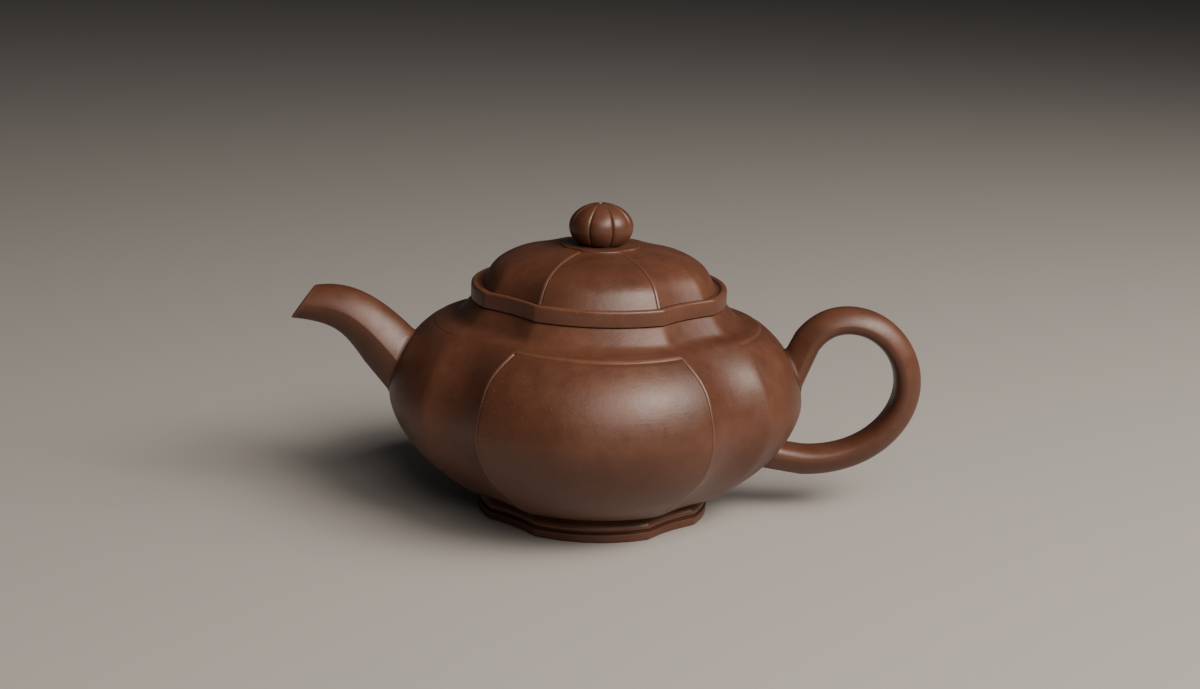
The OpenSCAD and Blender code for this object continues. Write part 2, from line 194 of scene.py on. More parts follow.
def line_cut(off, line):
    """Depth of a line at a distance off its bottom, which is positive over the round wall, and how
    much that wall is paler as wear and painted highlight and how much the bottom gets painted
    shade."""
    if off <= 0:
        share = max(0, 1 + off / line.rise) ** line.bend
    else:
        sine = max(0, 1 - off / line.wall) * math.sin(math.radians(line.turn))
        share = (1 - math.sqrt(1 - sine * sine)) / (1 - math.cos(math.radians(line.turn)))
    # The middle of the round wall is painted paler, partly as wear and partly as a painted
    # highlight, and the bottom is painted darker as shade
    wall_wear_and_highlight = max(0, 1 - abs(off / line.wall - 0.5) / 0.5)
    bottom = max(0, 1 - abs(off) / line_floor)
    return share * line.depth, wall_wear_and_highlight, bottom


def run_of(points):
    """Length along a chain of points up to each of them."""
    run = [0]
    for p, q in zip(points, points[1:]):
        run.append(run[-1] + math.dist(p, q))
    return run


def along(points, stops):
    """Points of a chain at given lengths along it."""
    run, found, k = run_of(points), [], 0
    for stop in stops:
        while k < len(run) - 2 and run[k + 1] < stop:
            k += 1
        share = (stop - run[k]) / max(1e-9, run[k + 1] - run[k])
        found.append(tuple(a + (b - a) * share for a, b in zip(points[k], points[k + 1])))
    return found


def even(points, step):
    """The same chain with even steps."""
    total = run_of(points)[-1]
    count = max(1, round(total / step))
    return along(points, [total * i / count for i in range(count + 1)])


def close_set(points, step, near, fine):
    """The chain with even steps, and finer ones over its last stretch."""
    total = run_of(points)[-1]
    count = max(1, round((total - near) / step))
    stops = [(total - near) * i / count for i in range(count)]
    few = round(near / fine)
    return along(points, stops + [total - near + near * i / few for i in range(few + 1)])


def fillet(corner, before, after, radius, steps=4):
    """Rounds one corner of a profile with a short curve."""
    c, b, a = Vector(corner), Vector(before), Vector(after)
    start, end = c + (b - c).normalized() * radius, c + (a - c).normalized() * radius
    return [tuple((1 - t) ** 2 * start + 2 * t * (1 - t) * c + t * t * end)
            for t in (i / steps for i in range(steps + 1))]


def rounded(points, radii):
    """A closed profile with the corners named in radii rounded."""
    out = []
    for i, p in enumerate(points):
        if radii.get(i):
            out += fillet(p, points[i - 1], points[(i + 1) % len(points)], radii[i])
        else:
            out.append(p)
    return out


# ---------------------------------------------------------------- making pieces

COLUMNS = 384  # columns round a lobed piece
ROUND_COLUMNS = 192  # and round one without lobes


def columned(turn, half, r):
    """Azimuth of an even column, drawn towards the line at a lobe's corner. Of the 48 columns from
    a lobe's middle to a flute's, 16 lie between 0.5 mm before the line and 0.65 mm past it."""
    middle = 90 * round(turn / 90)
    t = turn - middle
    column = abs(t) / 45 * 48
    mm = math.degrees(1 / max(10, r))
    knots = ((0, 0), (12, half - 2 * mm), (17, half - 0.5 * mm), (33, half + 0.65 * mm),
             (40, half + 2 * mm), (48, 45))
    for (before, a0), (after, a1) in zip(knots, knots[1:]):
        if column <= after + 1e-6:
            angle = a0 + (a1 - a0) * (column - before) / (after - before)
            break
    return middle + math.copysign(angle, t)


def spun(profile, columns, closed=True):
    """A chain of (r, z) points turned once round the axis."""
    bm = bmesh.new()
    verts = [bm.verts.new((r, 0, z)) for r, z in profile]
    edges = [bm.edges.new(pair) for pair in zip(verts, verts[1:])]
    if closed:
        edges.append(bm.edges.new((verts[-1], verts[0])))
    bmesh.ops.spin(bm, geom=verts + edges, cent=(0, 0, 0), axis=(0, 0, 1), angle=2 * math.pi,
                   steps=columns, use_merge=True)
    return bm


def polar(r, azimuth, z):
    """The point at a radius, an azimuth and a height."""
    a = math.radians(azimuth)
    return Vector((r * math.cos(a), r * math.sin(a), z))


def placed(bm, place):
    """Moves each vertex to place(r, azimuth, z), which also gives its wear and painted highlight
    and its painted shade.
    """
    bright = bm.verts.layers.float.new("wear_and_highlight")
    deep = bm.verts.layers.float.new("painted_shade")
    for v in bm.verts:
        r, azimuth = math.hypot(v.co.x, v.co.y), math.degrees(math.atan2(v.co.y, v.co.x))
        v.co, v[bright], v[deep] = place(r, azimuth, v.co.z)
    return bm


def place_round(r, turn, z):
    """Leaves a round piece as it was spun, with no wear, painted highlight or painted shade."""
    return polar(r, turn, z), 0, 0


def radius_of(point):
    """Distance from the pot's axis."""
    return math.hypot(point.x, point.y)


def piece(bm, name, body, nodes, finish, inside=None, inner_finish=None):
    """Makes the mesh an object in metres that rides on its body and stands for its CAD nodes.
    Faces that are inside, by their middle and their normal, have the inner finish."""
    bmesh.ops.remove_doubles(bm, verts=bm.verts, dist=1e-4)
    bmesh.ops.recalc_face_normals(bm, faces=bm.faces)
    for face in bm.faces:
        face.smooth = True
        if inside and inside(face.calc_center_median(), face.normal):
            face.material_index = 1
    for edge in bm.edges:
        edge.smooth = (edge.calc_face_angle(0) < SHARP
                       and len({face.material_index for face in edge.link_faces}) == 1)
    bmesh.ops.scale(bm, vec=(MM, MM, MM), verts=bm.verts)
    mesh = bpy.data.meshes.new(name)
    bm.to_mesh(mesh)
    bm.free()
    mesh.materials.append(finish)
    if inner_finish:
        mesh.materials.append(inner_finish)
    made = bpy.data.objects.new(name, mesh)
    bpy.context.scene.collection.objects.link(made)
    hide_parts(*nodes)
    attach(made, body)
    return made


# ---------------------------------------------------------------- finishes

def linear(hex_colour):
    """An sRGB hex colour as linear RGBA."""
    parts = [int(hex_colour[i:i + 2], 16) / 255 for i in (1, 3, 5)]
    return [c / 12.92 if c <= 0.04045 else ((c + 0.055) / 1.055) ** 2.4 for c in parts] + [1]


def add(tree, kind, settings=(), links=(), stops=()):
    """One node: settings are its own properties or its inputs' values, links are (input, socket),
    and stops are the places and colours, or greys, along its band of colours."""
    node = tree.nodes.new(kind)
    for key, value in dict(settings).items():
        if isinstance(key, str) and hasattr(node, key):
            setattr(node, key, value)
        else:
            node.inputs[key].default_value = value
    for key, socket in dict(links).items():
        tree.links.new(socket, node.inputs[key])
    for i, (place, colour) in enumerate(stops):
        marks = node.color_ramp.elements
        mark = marks[i] if i < len(marks) else marks.new(place)
        mark.position = place
        mark.color = linear(colour) if isinstance(colour, str) else (colour, colour, colour, 1)
    return node


def zisha(name, tones, roughness, grain, streaks):
    """Fired yixing stoneware: an unglazed clay full of fine sand, so it is satin where a horn
    scraper has burnished it and dull where no tool reaches. Its colour drifts a little with the
    firing, and pale sand and dark iron specks lie in it."""
    material = bpy.data.materials.new(name)
    material.use_nodes = True
    tree = material.node_tree
    tree.nodes.clear()
    place = add(tree, "ShaderNodeTexCoord").outputs["Object"]
    # Two masks from the pieces: paler edges, partly wear and partly painted highlight, and painted
    # shade in line bottoms, creases, gaps and bores
    wear_and_highlight = add(tree, "ShaderNodeAttribute", {"attribute_name": "wear_and_highlight"}).outputs["Fac"]
    painted_shade = add(tree, "ShaderNodeAttribute", {"attribute_name": "painted_shade"}).outputs["Fac"]

    # Drift of the firing over 25 mm, and clouds of the clay over 4 mm
    drift = add(tree, "ShaderNodeTexNoise", {"Scale": 1 / 0.025, "Detail": 3.0, "Roughness": 0.55},
                {"Vector": place}).outputs["Fac"]
    clouds = add(tree, "ShaderNodeTexNoise", {"Scale": 1 / 0.004, "Detail": 4.0, "Roughness": 0.6},
                 {"Vector": place}).outputs["Fac"]
    # Sand of 0.2 mm is too fine to see whole, so it is drawn as 0.45 mm
    sand = add(tree, "ShaderNodeTexNoise", {"Scale": 1 / 0.00045, "Detail": 2.0, "Roughness": 0.7},
               {"Vector": place}).outputs["Fac"]
    specks = add(tree, "ShaderNodeTexVoronoi", {"Scale": 1 / 0.0016, "Randomness": 1.0},
                 {"Vector": place})

    colour = add(tree, "ShaderNodeValToRGB", links={"Fac": drift},
                 stops=((0.32, tones["deep"]), (0.52, tones["clay"]), (0.72, tones["warm"]))
                 ).outputs["Color"]
    for pattern, share, greys in ((clouds, 0.8, ((0.3, 0.86), (0.7, 1.1))),
                                  (sand, grain, ((0.3, 0.82), (0.72, 1.16)))):
        light = add(tree, "ShaderNodeValToRGB", links={"Fac": pattern}, stops=greys)
        colour = add(tree, "ShaderNodeMix",
                     {"data_type": "RGBA", "blend_type": "MULTIPLY", 0: share},
                     {6: colour, 7: light.outputs["Color"]}).outputs[2]
    # About one cell in ten holds a pale speck and one in fourteen a dark one, 0.35 mm across
    pick = add(tree, "ShaderNodeSeparateColor", links={0: specks.outputs["Color"]})
    near = add(tree, "ShaderNodeMath", {"operation": "LESS_THAN", 1: 0.11},
               {0: specks.outputs["Distance"]})
    for tone, channel, rarity, strength in (("sand", 0, 0.9, 0.35), ("iron_and_shade", 1, 0.93, 0.45)):
        picked = add(tree, "ShaderNodeMath", {"operation": "GREATER_THAN", 1: rarity},
                     {0: pick.outputs[channel]})
        speck = add(tree, "ShaderNodeMath", {"operation": "MULTIPLY"},
                    {0: near.outputs[0], 1: picked.outputs[0]})
        faint = add(tree, "ShaderNodeMath", {"operation": "MULTIPLY", 1: strength},
                    {0: speck.outputs[0]})
        colour = add(tree, "ShaderNodeMix", {"data_type": "RGBA", 7: linear(tones[tone])},
                     {0: faint.outputs[0], 6: colour}).outputs[2]
    # Edges are paler and glossier, as wear and as painted highlight; line bottoms, creases and gaps
    # get painted shade and are dull
    for tone, mask, strength in (("lip", wear_and_highlight, 0.4), ("iron_and_shade", painted_shade, 0.25)):
        share = add(tree, "ShaderNodeMath", {"operation": "MULTIPLY", 1: strength}, {0: mask})
        colour = add(tree, "ShaderNodeMix", {"data_type": "RGBA", 7: linear(tones[tone])},
                     {0: share.outputs[0], 6: colour}).outputs[2]

    # Scraper marks run round the pot, about 9 mm long and 0.5 mm apart
    long_way = add(tree, "ShaderNodeMapping", {"Scale": (1 / 0.009, 1 / 0.009, 1 / 0.0005)},
                   {"Vector": place}).outputs["Vector"]
    scrape = add(tree, "ShaderNodeTexNoise", {"Scale": 1.0, "Detail": 2.0, "Roughness": 0.5},
                 {"Vector": long_way}).outputs["Fac"]
    clouded = add(tree, "ShaderNodeMapRange", {"From Min": 0.3, "From Max": 0.7,
                                               "To Min": roughness - 0.05,
                                               "To Max": roughness + 0.06}, {"Value": clouds})
    rubbed = add(tree, "ShaderNodeMath", {"operation": "MULTIPLY_ADD", 1: -0.07},
                 {0: wear_and_highlight, 2: clouded.outputs["Result"]})
    dull = add(tree, "ShaderNodeMath", {"operation": "MULTIPLY_ADD", 1: 0.2, "use_clamp": True},
               {0: painted_shade, 2: rubbed.outputs[0]}).outputs[0]

    # Relief of the sand, of the scraper marks and of slow dents left by the hand
    rise = add(tree, "ShaderNodeBump", {"Strength": 0.35 * grain, "Distance": 0.00006},
               {"Height": sand})
    swell = add(tree, "ShaderNodeBump", {"Strength": streaks, "Distance": 0.00005},
                {"Height": scrape, "Normal": rise.outputs["Normal"]})
    wave = add(tree, "ShaderNodeBump", {"Strength": 0.3, "Distance": 0.0003},
               {"Height": clouds, "Normal": swell.outputs["Normal"]})
    shader = add(tree, "ShaderNodeBsdfPrincipled", {"IOR": 1.5, "Metallic": 0.0},
                 {"Base Color": colour, "Roughness": dull, "Normal": wave.outputs["Normal"]})
    add(tree, "ShaderNodeOutputMaterial", links={"Surface": shader.outputs["BSDF"]})
    return material


burnished = zisha("burnished_zisha_stoneware",
                  {"deep": "#50301f", "clay": "#5a3727", "warm": "#643f2d",
                   "sand": "#976c50", "iron_and_shade": "#2b1912", "lip": "#80583f"}, 0.4, 0.45, 0.25)
bare = zisha("unburnished_zisha_stoneware",
             {"deep": "#513224", "clay": "#5b3a2b", "warm": "#654231",
              "sand": "#946b50", "iron_and_shade": "#2b1912", "lip": "#7c563f"}, 0.62, 0.9, 0.5)


# ---------------------------------------------------------------- the pot's shell

def body_slope(z):
    """Outward direction of the body's profile, as its shares along r and z."""
    step = 0.05
    z = min(body_top - step, max(foot_h + step, z))
    dr, dz = body_r(z + step) - body_r(z - step), 2 * step
    size = math.hypot(dr, dz)
    return dz / size, -dr / size


def softness_at(azimuth, r):
    """The flutes meet the two panels at a crisp edge, and run softly into all else."""
    crisp = soft_panel if faces_front(azimuth) else soft_side
    return soft_neck - (soft_neck - crisp) * smooth((r - neck_r) / widen_start)


def on_body(r, turn, z, upright):
    """A point of the outer skin from the neck to the foot, with the lines that are cut into it.
    The level line stops at a panel's corners, and is fainter and fades out on the side lobes."""
    half = half_at(r)
    azimuth = columned(turn, half, r)
    front = faces_front(azimuth)
    beside = abs(fold(azimuth)) - half
    strength, fade_start, fade_run = (1, 0.2, 0.8) if front else (0.6, -3, 5)
    level = strength * (1 - smooth((beside - fade_start) / fade_run))
    off = math.copysign(math.hypot(r - body_r(shoulder_z), z - shoulder_z), z - shoulder_z)
    cuts = [[level * share for share in line_cut(off, level_line)]]
    if upright and front:
        cuts.append(line_cut(math.radians(beside) * r, upright_line))
    # The lines' round walls are painted paler, as wear and painted highlight, and their bottoms
    # darker as painted shade
    depth, lip, bottom = (max(shares, key=abs) for shares in zip(*cuts))
    out, up = body_slope(z)
    skin = r * plan(azimuth, corner_at(r), half, softness_at(azimuth, r))
    return polar(skin - depth * out, azimuth, z - depth * up), lip, bottom


def inner_plan(r, azimuth):
    """The inside is round at its openings and follows the lobes further out."""
    share = smooth((r - base_r) / 5)
    return 1 + (plan(azimuth, corner_at(r), half_at(r), soft_inside) - 1) * share


# Profile of the wall: up the outside to the shoulder's edge, with its rows closer together where
# the level line runs, and down the inside to the floor
half_degrees = [i * 0.5 for i in range(181)]
shoulder_share = (shoulder_z - belly_z) / (body_top - belly_z)
shoulder_s = math.degrees(math.asin(shoulder_share ** (upper_fullness / 2)))
lower_line = [quarter(foot_neck_r, belly_r, belly_z, foot_h, lower_fullness, s)
              for s in reversed(half_degrees)]
upper_line = [quarter(neck_base_r, belly_r, belly_z, body_top, upper_fullness, shoulder_s * s / 90)
              for s in half_degrees]
wall_line = close_set(lower_line + upper_line[1:], step=0.9, near=2.4, fine=0.12)
inner_top = [quarter(wall_mouth_r, belly_r - wall_t, belly_z, shoulder_z, upper_fullness, s)
             for s in reversed(half_degrees)]
inner_low = [quarter(base_r - 1, belly_r - wall_t, belly_z, foot_h + floor_rise, lower_fullness, s)
             for s in half_degrees]
inner_line = [p for p in even(inner_top + inner_low[1:], 2.2) if p[0] > base_r]


def place_wall(r, turn, z):
    """The outside and the seat of the shoulder follow the skin, and the rest is inside."""
    on_skin = abs(r - body_r(z)) < 0.02
    if on_skin or z > shoulder_z - 0.001 and r > wall_mouth_r + 0.5:
        return on_body(r, turn, z, True)
    return polar(r * inner_plan(r, turn), turn, z), 0, 0


wall = placed(spun(wall_line + inner_line + [(base_r, inner_line[-1][1] - 0.3), (base_r, foot_h)],
                   COLUMNS), place_wall)


def spout_bore_cutter():
    """The round hole in the wall that the strainer's cap closes, square to the wall."""
    root = Vector((-skin_r(180, spout_root_z), 0, spout_root_z))
    lean = (body_r(spout_root_z + 1) - body_r(spout_root_z - 1)) / 2
    tilt = math.radians(90) - math.atan(lean)
    bm = bmesh.new()
    bmesh.ops.create_cone(bm, cap_ends=True, segments=96, radius1=strainer_r, radius2=strainer_r,
                          depth=20, matrix=Matrix.Translation(root) @ Matrix.Rotation(tilt, 4, "Y"))
    return bm


def cut_from(made, cutter):
    """Cuts a closed tool out of a finished piece."""
    bmesh.ops.scale(cutter, vec=(MM, MM, MM), verts=cutter.verts)
    mesh = bpy.data.meshes.new("bore_tool")
    cutter.to_mesh(mesh)
    cutter.free()
    tool = bpy.data.objects.new("bore_tool", mesh)
    bpy.context.scene.collection.objects.link(tool)
    cut = made.modifiers.new("bore", "BOOLEAN")
    cut.operation, cut.solver, cut.object = "DIFFERENCE", "EXACT", tool
    bpy.context.view_layer.update()
    cut_piece = made.evaluated_get(bpy.context.evaluated_depsgraph_get())
    result = bpy.data.meshes.new_from_object(cut_piece)
    made.modifiers.remove(cut)
    result.name, old = made.data.name, made.data
    made.data = result
    bpy.data.meshes.remove(old)
    bpy.data.objects.remove(tool)


def within_wall(point, normal):
    """True on the wall's inside, which no tool has burnished."""
    return radius_of(point) < skin_r(math.degrees(math.atan2(point.y, point.x)), point.z) - 1


wall_piece = piece(wall, "pot_wall", "pot", ["body_wall"], burnished,
                   within_wall, bare)
cut_from(wall_piece, spout_bore_cutter())

# The neck runs down into a cove, which runs out to the shoulder's edge, and the seam of neck and
# shoulder lies in its middle. The lid's band closes over the top of the neck, with a gap that is
# open at its edge.
band_low, gap_h = seat_z - 0.37, 0.2
neck_top, cove_foot = (neck_r, band_low), (33.6, 47.2)
shelf_edge, shoulder_edge = (38.1, 46.53), (body_r(shoulder_z), shoulder_z)
cove = fillet(cove_foot, neck_top, shelf_edge, 1.5, 10)
shelf = fillet(shelf_edge, cove_foot, shoulder_edge, 1.1, 8)
neck_line = along([neck_top, cove[0]], [0.4 * i for i in range(11)]) + cove[1:6]
slab_line = close_set(cove[5:] + shelf + [shoulder_edge], step=0.25, near=2.4, fine=0.12)
seam_z = cove[5][1]


def place_slab(r, turn, z):
    """The shoulder slab: lobed outside its round mouth."""
    if r > mouth_r + 0.5:
        return on_body(r, turn, z, False)
    return place_round(r, turn, z)


slab = placed(spun(slab_line + [(mouth_r, shoulder_z), (mouth_r, seam_z)], COLUMNS), place_slab)
piece(slab, "pot_shoulder", "pot", ["shoulder_slab"], burnished,
      lambda point, normal: radius_of(point) < neck_base_r - 1 or normal.z < -0.9, bare)


def place_round_lobes(r, turn, z):
    """The plain lobed outline of the neck, the foot and the rim, round again at a bore."""
    azimuth = columned(turn, lobe_half, r)
    share = smooth((r - base_r) / 2.5)
    outline = 1 + (plan(azimuth, 1, lobe_half, soft_ring) - 1) * share
    return azimuth, r * outline


def place_neck(r, turn, z):
    """The neck ring: its outside runs on from the shoulder, and its mouth is round."""
    if r > neck_r - 0.4:
        return on_body(r, turn, z, False)
    azimuth, skin = place_round_lobes(r, turn, z)
    return polar(skin, azimuth, z), 0, 0


neck = rounded(neck_line + [(mouth_r, seam_z), (mouth_r, band_low)],
               {0: 0.15, len(neck_line) + 1: 0.6})
piece(placed(spun(neck, COLUMNS), place_neck), "pot_neck", "pot", ["neck_ring"], burnished,
      lambda point, normal: radius_of(point) < mouth_r + 0.8, bare)


# ---------------------------------------------------------------- the foot

# A plain band, a narrow groove over it, a round bead and the waist under the wall
bead_r, bead_z, groove_z = foot_r - 0.3, 3.3, 2.1


def place_foot(r, turn, z):
    """The foot ring: its bead is paler as wear and painted highlight, and its groove gets painted
    shade.
    """
    azimuth, skin = place_round_lobes(r, turn, z)
    lip = max(0, 1 - abs(z - bead_z) / 0.7) if r > bead_r - 0.8 else 0
    bottom = max(0, 1 - abs(z - groove_z) / 0.35) if r > bead_r - 1.2 else 0
    return polar(skin, azimuth, z), lip, bottom


foot_outline = [(base_r, 0), (foot_r, 0), (foot_r, 1.9), (foot_r - 0.9, 2.05),
                (foot_r - 0.85, 2.35), (bead_r - 0.35, 2.45), (bead_r, 2.75), (bead_r + 0.02, 3.1),
                (bead_r - 0.12, 3.5), (foot_neck_r + 0.75, 4.2), (foot_neck_r + 0.2, 4.9),
                (foot_neck_r, foot_h), (base_r, foot_h)]
foot = rounded(foot_outline, {0: 0.7, 1: 0.45, 2: 0.2})
piece(placed(spun(foot, COLUMNS), place_foot), "pot_foot", "pot", ["foot_ring"], burnished,
      lambda point, normal: normal.z < -0.5 or radius_of(point) < base_r + 0.5, bare)

# The base disc is a little hollow below
base_outline = [(0.0, base_low.z + 0.25), (6, base_low.z + 0.2), (14, base_low.z + 0.07),
                (base_r - 0.9, base_low.z), (base_r, base_low.z), (base_r, base_high.z),
                (0.0, base_high.z)]
piece(placed(spun(base_outline, ROUND_COLUMNS, closed=False), place_round), "pot_base", "pot",
      ["base_disc"], bare)


# ---------------------------------------------------------------- spout and handle

def bezier(line, t):
    """Point of a cubic curve in the plane of the spout and the handle, as (x, z)."""
    weights = ((1 - t) ** 3, 3 * t * (1 - t) ** 2, 3 * t * t * (1 - t), t ** 3)
    return sum((w * p for w, p in zip(weights, line)), Vector((0, 0)))


def bezier_way(line, t):
    """Direction of that curve, as (x, z)."""
    weights = (3 * (1 - t) ** 2, 6 * t * (1 - t), 3 * t * t)
    way = sum((w * (q - p) for w, p, q in zip(weights, line, line[1:])), Vector((0, 0)))
    return way.normalized()


def power(x, n):
    """Power of a number that keeps its sign."""
    return math.copysign(abs(x) ** n, x)


def oval(middle, way, height, width, shape, ridge, turn):
    """A point of an oval section with a ridge along each side. Shape holds the powers of its two
    directions on either side of the ridge, which lies at a share of the height off the middle."""
    a = math.radians(turn)
    inner = math.sin(a) < 0
    in_plane, across = shape[inner]
    off = height * (ridge + (0.5 + ridge if inner else 0.5 - ridge) * power(math.sin(a), in_plane))
    aside = width / 2 * power(math.cos(a), across)
    return Vector((middle.x - off * way.y, aside, middle.y + off * way.x))


slip_film = 0.03  # between a root and the skin it is luted to


def land(point, way, back=30):
    """Where a line back along way from a point meets the pot's skin, but for the film of slip."""
    def outside(p):
        return radius_of(p) - skin_r(math.degrees(math.atan2(p.y, p.x)), p.z) - slip_film
    inner, outer = point - back * way, point
    for _ in range(24):
        middle = (inner + outer) / 2
        if outside(middle) > 0:
            outer = middle
        else:
            inner = middle
    return (inner + outer) / 2


root_rows = (0.0, 0.15, 0.35, 0.6, 0.95, 1.4)  # distances off the skin over a root's fillet
fillet_w = 0.4  # how far the fillet spreads at the skin


def root_point(section, middle, way, off):
    """A point of the rounded root of the spout or the handle, a distance off the pot's skin, with
    its wear and painted highlight, and the painted shade in the crease where it meets the skin."""
    spread = fillet_w * (1 - off / root_rows[-1]) ** 2
    away = section - middle
    away = (away - away.dot(way) * way).normalized()
    point = land(section + away * spread, way) + way * off
    return point, 0.3 * off / root_rows[-1], max(0, 1 - off / 0.5)


spout_reach, spout_tip_z = 72.6, 48.5
spout_root = Vector((-skin_r(180, spout_root_z), spout_root_z))
# From the root it climbs steeply, and it runs level into the mouth
spout_line = [spout_root, spout_root + Vector((-8, 9.5)), Vector((-59.5, spout_tip_z + 0.4)),
              Vector((-spout_reach + 2.2, spout_tip_z))]
root_d, root_wall = 15, 2  # width and height at the root, and the clay's thickness there
tip_h, tip_w, tip_wall = 8, 9.6, 1.3
mouth_slant = 0.75  # how far the upper lip stands back, as a share of its height over the lower
spout_start, spout_end = 0.11, 0.985  # where the root's fillet ends and the rounded lip begins
SPOUT_ROWS, BORE_ROWS = 52, 30
# Rows over the lip: how far along the line, and how far from the outside to the bore
lip_rows = ((0.99, 0.02), (0.996, 0.1), (1, 0.26), (1, 0.5), (1, 0.74), (0.996, 0.9), (0.99, 0.98))


def spout_point(t, share, turn):
    """A point of the spout: share 0 is its outside and share 1 its bore. Its outside is arched to a
    soft ridge along each side, most of all at the root."""
    middle, way = bezier(spout_line, t), bezier_way(spout_line, t)
    wall_here = root_wall + (tip_wall - root_wall) * t
    height = root_d + (tip_h - root_d) * t ** 0.9 - 2 * share * wall_here
    width = root_d + (tip_w - root_d) * t ** 0.7 - 2 * share * wall_here
    under, over = 1 + (1 - share) * (0.4 - 0.2 * t), 1 + (1 - share) * (0.95 - 0.5 * t)
    ridge = -0.06 * (1 - share) * (1 - t)
    p = oval(middle, way, height, width, ((under, 1), (over, 1)), ridge, turn)
    p.x += t ** 4 * mouth_slant * (p.z - middle.y)
    return p


def in_space(flat):
    """A point or a direction of the plane (x, z), in space."""
    return Vector((flat.x, 0, flat.y))


def make_spout():
    """A tube of rows, bent along its line: each row is (share, t) or a row of its rounded root."""
    run = spout_end - spout_start
    rows = [("root", off) for off in root_rows]
    rows += [(0, spout_start + run * i / SPOUT_ROWS) for i in range(1, SPOUT_ROWS + 1)]
    rows += [(share, t) for t, share in lip_rows]
    rows += [(1, spout_end - run * i / BORE_ROWS) for i in range(BORE_ROWS + 1)]
    rows += [("bore", 0)]
    way = in_space(bezier_way(spout_line, 0))
    middle = in_space(bezier(spout_line, spout_start))

    def place(r, turn, z):
        kind, value = rows[round(z)]
        if kind == "root":
            return root_point(spout_point(spout_start, 0, turn), middle, way, value)
        # The bore and the spout's inside are painted darker as shade, and the mouth's lip paler as
        # wear and painted highlight
        if kind == "bore":
            return land(spout_point(spout_start, 1, turn), way), 0, 0.5
        lip = smooth((value - 0.95) / 0.05) * (1 - kind)
        return spout_point(value, kind, turn), lip, 0.4 * kind

    return placed(spun([(1, i) for i in range(len(rows))], 96), place)


piece(make_spout(), "spout_tube", "pot", ["spout"], burnished)

handle_reach, handle_top, handle_low = 74.98, 48.3, 12.5
handle_t, handle_w = 6.4, 9.2
# Roof-shaped outside, nearly flat on the inside where the fingers go, with a ridge between
handle_shape = ((1.6, 0.95), (0.95, 0.65))
handle_ridge = -0.1
# Three curves: from the upper root to the crest, on to the furthest point, and to the lower root
upper_root, lower_root = (Vector((skin_r(0, z), z)) for z in (36.5, 14.2))
crest = Vector((60, handle_top))
furthest = Vector((handle_reach, 32.5))
handle_lines = [[upper_root, upper_root + Vector((2, 7)), crest - Vector((6.5, 0)), crest],
                [crest, crest + Vector((8.5, 0)), furthest + Vector((0, 8)), furthest],
                [furthest, Vector((handle_reach, handle_low + 8.5)),
                 Vector((62, handle_low - 3.2)), lower_root]]


def handle_point(part, t, turn):
    """A point of the handle, on one of its three curves. It thickens by 1 mm towards each root."""
    middle, way = bezier(handle_lines[part], t), bezier_way(handle_lines[part], t)
    to_root = abs(2 * (part + t) / 3 - 1) ** 3
    return oval(middle, way, handle_t + to_root, handle_w, handle_shape, handle_ridge, turn)


def make_handle():
    """A bar of rows: each row is (curve, t) or a row of a rounded root."""
    first, last = 0.28, 0.88  # sections that the fillets of the two roots start from
    clear_first, clear_last = first + 0.06, last - 0.03  # the free bar's first and last section
    rows = [("upper", off) for off in root_rows]
    rows += [(0, clear_first + (1 - clear_first) * i / 26) for i in range(26)]
    rows += [(1, i / 34) for i in range(34)]
    rows += [(2, clear_last * i / 52) for i in range(53)]
    rows += [("lower", off) for off in reversed(root_rows)]
    ends = {}
    for key, part, t, way_t, sign in (("upper", 0, first, 0.1, 1), ("lower", 2, last, 0.95, -1)):
        middle, way = bezier(handle_lines[part], t), bezier_way(handle_lines[part], way_t)
        ends[key] = (part, t, in_space(middle), sign * in_space(way))

    def place(r, turn, z):
        kind, value = rows[round(z)]
        if kind in ends:
            part, t, middle, way = ends[kind]
            return root_point(handle_point(part, t, turn), middle, way, value)
        return handle_point(kind, value, turn), 0, 0

    bm = placed(spun([(1, i) for i in range(len(rows))], 72, closed=False), place)
    bmesh.ops.holes_fill(bm, edges=bm.edges)
    return bm


piece(make_handle(), "handle_loop", "pot", ["handle"], burnished)


# ---------------------------------------------------------------- the lid

# The lid's band ends in a round lip, and a shallow channel runs between the lip and the dome.
# Its underside is relieved towards its edge, so that it closes on a narrow ring.
dome_foot_r = reach("lid_dome")[1].y
band_r = rim_r - 0.25
closing_r = 28.6  # edge of the ring that it closes on
channel_z = rim_top - 0.15
rim = rounded([(hollow_r, band_low), (closing_r, band_low), (closing_r + 0.3, band_low + gap_h),
               (band_r, band_low + gap_h), (band_r, lip_top), (band_r - 1.5, lip_top),
               (band_r - 1.8, channel_z), (dome_foot_r - 0.3, channel_z),
               (dome_foot_r - 0.3, rim_top), (hollow_r, rim_top)],
              {3: 0.2, 4: 0.8, 5: 0.6, 6: 0.3})


def place_rim(r, turn, z):
    """The lid's band: its lip is paler as wear and painted highlight, and the dome's foot and the
    gap below get painted shade.
    """
    azimuth, skin = place_round_lobes(r, turn, z)
    lip = max(0, 1 - math.hypot(r - band_r + 0.7, z - lip_top + 0.2) / 0.9)
    in_painted_shade = abs(r - dome_foot_r) < 0.5 or z < band_low + gap_h + 0.01
    return polar(skin, azimuth, z), lip, 1 if in_painted_shade else 0


piece(placed(spun(rim, COLUMNS), place_rim), "lid_band", "lid", ["lid_rim"], burnished,
      lambda point, normal: normal.z < -0.8 or radius_of(point) < hollow_r + 0.5, bare)

dome_low, dome_top = rim_top - dome_start, rim_top + dome_h
knob_seat_r = quarter(0, dome_r, dome_low, dome_top, dome_fullness, dome_end)[0]
dome_first = math.degrees(math.asin((dome_start / (dome_h + dome_start)) ** (dome_fullness / 2)))
# The knob stands on a low platform, and the dome's flank is a little flatter than its curve
platform_r, platform_h = knob_seat_r, 0.35


def dome_slope(r, z):
    """Outward direction of the dome's profile, as its shares along r and z."""
    tall = dome_top - dome_low
    out = (r / dome_r) ** (dome_fullness - 1) / dome_r
    up = ((z - dome_low) / tall) ** (dome_fullness - 1) / tall
    size = math.hypot(out, up)
    return out / size, up / size


